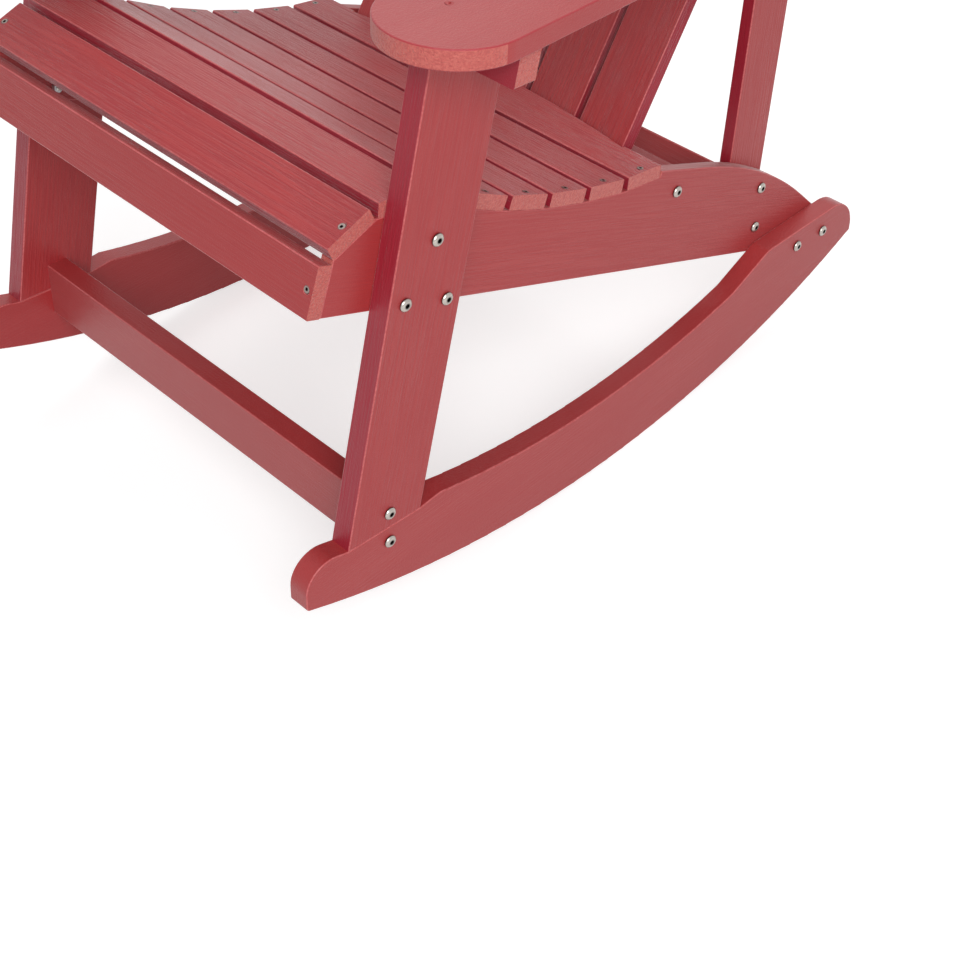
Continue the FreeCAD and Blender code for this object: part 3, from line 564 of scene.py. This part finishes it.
def turned_fastener(profile, socket_sides, socket_across, steps):
    """A closed surface from a profile of (radius, height, socket share, painted shade) rows.

    At angle a, a polygon's edge is at radius r = half its width / cos(a folded into one side).
    Each row's radius is a mix of its own circle and that polygon, by its socket share."""
    profile = np.array(profile)
    rows = len(profile)
    angle = np.arange(steps) * 2 * np.pi / steps
    fold = (angle + np.pi / socket_sides) % (2 * np.pi / socket_sides) - np.pi / socket_sides
    polygon = socket_across / 2 / np.cos(fold)
    share = profile[:, 2][:, None]
    radius = profile[:, 0][:, None] * (1 - share) + polygon[None, :] * share
    heights = np.repeat(profile[:, 1][:, None], steps, 1)
    rings = np.stack([radius * np.cos(angle), radius * np.sin(angle), heights], axis=2)
    points = np.vstack([rings.reshape(-1, 3), [[0, 0, profile[0, 1]], [0, 0, profile[-1, 1]]]])
    row, column = np.meshgrid(np.arange(rows - 1), np.arange(steps), indexing="ij")
    beside = (column + 1) % steps
    corners = (row * steps + column, (row + 1) * steps + column,
               (row + 1) * steps + beside, row * steps + beside)
    walls = np.stack(corners, axis=2).reshape(-1, 4)
    around = np.arange(steps)
    last = (rows - 1) * steps
    bottom = np.stack([np.full(steps, rows * steps), around, (around + 1) % steps], axis=1)
    tip_corners = (np.full(steps, rows * steps + 1), last + (around + 1) % steps, last + around)
    tip = np.stack(tip_corners, axis=1)
    recess = np.append(np.repeat(profile[:, 3], steps), (profile[0, 3], profile[-1, 3]))
    return points, walls, np.vstack([bottom, tip]), recess


def lay_fasteners(node, shape, head_height, material):
    """Copies one turned shape to every fastener of the group and makes them one piece."""
    places = fastener_places(node)
    points, walls, caps, recess = [], [], [], []
    count = 0
    for head, axis, length in places:
        own_points, own_walls, own_caps, own_recess = shape(length - head_height)
        turn = np.array((-Vector(axis)).to_track_quat("Z", "Y").to_matrix())
        points.append(own_points @ turn.T + head + axis * head_height)
        walls.append(own_walls + count)
        caps.append(own_caps + count)
        recess.append(own_recess)
        count += len(own_points)
    faces = np.vstack(walls).tolist() + np.vstack(caps).tolist()
    piece = new_piece(node[:-1] + "_heads", np.vstack(points), faces, HEAD_SMOOTH_ANGLE)
    # The recess mask carries the painted shade of sockets and head rims to the material.
    mask = piece.data.attributes.new("recess", "FLOAT", "POINT")
    mask.data.foreach_set("value", np.concatenate(recess))
    piece.data.materials.append(material)
    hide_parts(node)
    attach(piece, "root")
    print(piece.name, len(places), "faces", len(faces))


# %% The bolts
BOLT_HEAD_HEIGHT = 0.0036
BOLT_SOCKET = 0.004
BOLT_STEPS = 48


def bolt_shape(length):
    """A furniture bolt: a hexagon socket in a low dome 13 mm across, on a 6 mm shank."""
    # The last number of each row is its share of painted shade: the socket and a ring under the
    # head.
    profile = [
        (0.0012, 0.0014, 1, 1), (0.0020, 0.0014, 1, 1), (0.0020, 0.0031, 1, 0.8),
        (0.0023, 0.00345, 0.6, 0.9), (0.0030, 0.0036, 0, 0.3), (0.0040, 0.0035, 0, 0),
        (0.0049, 0.0031, 0, 0), (0.0057, 0.0025, 0, 0), (0.0063, 0.0018, 0, 0.1),
        (0.0065, 0.0012, 0, 0.5), (0.0064, 0.0007, 0, 0.9), (0.0060, 0.0, 0, 1), (0.0030, 0.0, 0, 1),
        (0.0030, -length + 0.0006, 0, 0), (0.0024, -length, 0, 0),
    ]
    return turned_fastener(profile, 6, BOLT_SOCKET, BOLT_STEPS)


for node in ("leg_bolts", "foot_bolts", "post_bolts", "rocker_bolts", "back_rail_bolts"):
    lay_fasteners(node, bolt_shape, BOLT_HEAD_HEIGHT, nickel)

# %% The screws
SCREW_SOCKET = 0.0024
SCREW_STEPS = 32


def screw_shape(length):
    """A countersunk screw: a square socket in a flat head 7.5 mm across, on a cone and a shank."""
    # The last number of each row is its share of painted shade: the socket, the rim and the cone
    # under the head.
    profile = [
        (0.0008, -0.0014, 1, 1), (0.0012, -0.0014, 1, 1), (0.0012, -0.0002, 1, 1),
        (0.0015, 0.0, 0.5, 0.7), (0.0020, 0.0, 0, 0), (0.0030, 0.0, 0, 0), (0.0034, 0.0, 0, 0.4),
        (0.00372, -0.00012, 0, 1), (0.00345, -0.0005, 0, 1), (0.0020, -0.0026, 0, 1),
        (0.0020, -length + 0.004, 0, 0), (0.0002, -length, 0, 0),
    ]
    return turned_fastener(profile, 4, SCREW_SOCKET, SCREW_STEPS)


for node in ("seat_slat_screws", "front_apron_screws", "arm_screws", "arm_bracket_screws",
             "rear_cross_board_screws", "back_slat_screws"):
    screw_finish = painted if node == "arm_screws" else stainless
    lay_fasteners(node, screw_shape, 0.0, screw_finish)

# %% [markdown]
# ## Floor, background and light
# The photograph is cut out on white. The floor is a pale matt sheet that looks brighter to the
# camera, in reflections and through glass, but adds no light to the chair. It comes out white and
# still shows the chair's soft shadow. The world is white to the same rays.
# Large soft lamps keep the light plain: one from the sitter's left, one from above and behind.

# %% The floor
FLOOR_HALF = 9.0
FLOOR_COLOUR = (0.6, 0.6, 0.6, 1.0)
FLOOR_GLOW = 0.62
WHITE = (1.0, 1.0, 1.0, 1.0)


def seen_directly(tree):
    """One for rays from the camera, from a shiny surface and through glass, and otherwise zero."""
    path = add_node(tree, "ShaderNodeLightPath").outputs
    either = math_node(tree, "MAXIMUM", path["Is Camera Ray"], path["Is Glossy Ray"])
    return math_node(tree, "MAXIMUM", either, path["Is Transmission Ray"])


def pale_floor():
    """A matt sheet that the camera and reflections see a little brighter than its light makes it."""
    material = bpy.data.materials.new("studio_floor")
    material.use_nodes = True
    tree = material.node_tree
    tree.nodes.clear()
    matt = add_node(tree, "ShaderNodeBsdfDiffuse", Color=FLOOR_COLOUR)
    glow = math_node(tree, "MULTIPLY", seen_directly(tree), FLOOR_GLOW)
    lift = add_node(tree, "ShaderNodeEmission", Color=WHITE, Strength=glow)
    both = add_node(tree, "ShaderNodeAddShader", i0=matt.outputs[0], i1=lift.outputs[0])
    add_node(tree, "ShaderNodeOutputMaterial", Surface=both.outputs[0])
    return material


corners = np.array([[-1, -1, 0], [1, -1, 0], [1, 1, 0], [-1, 1, 0]]) * FLOOR_HALF
floor = new_piece("floor", corners, [[0, 1, 2, 3]])
floor.data.materials.append(pale_floor())
print("floor side", 2 * FLOOR_HALF)

# %% The world
FILL_LIGHT = 0.34

world = bpy.data.worlds.new("studio")
bpy.context.scene.world = world
world.use_nodes = True
sky = world.node_tree
sky.nodes.clear()
strength = map_range(sky, seen_directly(sky), 0.0, 1.0, FILL_LIGHT, 1.0, False)
fill = add_node(sky, "ShaderNodeBackground", Color=WHITE, Strength=strength)
add_node(sky, "ShaderNodeOutputWorld", Surface=fill.outputs[0])
print("fill light", FILL_LIGHT)

# %% The lamps
CHAIR_MIDDLE = (0.0, 0.0, 0.4)


def soft_lamp(name, place, size, power):
    """A square area lamp that faces the middle of the chair."""
    data = bpy.data.lights.new(name, "AREA")
    data.size = size
    data.energy = power
    lamp = bpy.data.objects.new(name, data)
    lamp.location = place
    aim = Vector(CHAIR_MIDDLE) - Vector(place)
    lamp.rotation_euler = aim.to_track_quat("-Z", "Y").to_euler()
    bpy.context.scene.collection.objects.link(lamp)
    print(name, "watts", power)


soft_lamp("lamp_front", (2.7, -1.9, 2.6), 2.2, 112.0)
soft_lamp("lamp_above", (-0.9, 1.3, 3.3), 2.6, 50.0)

bpy.context.scene.view_settings.view_transform = "Standard"
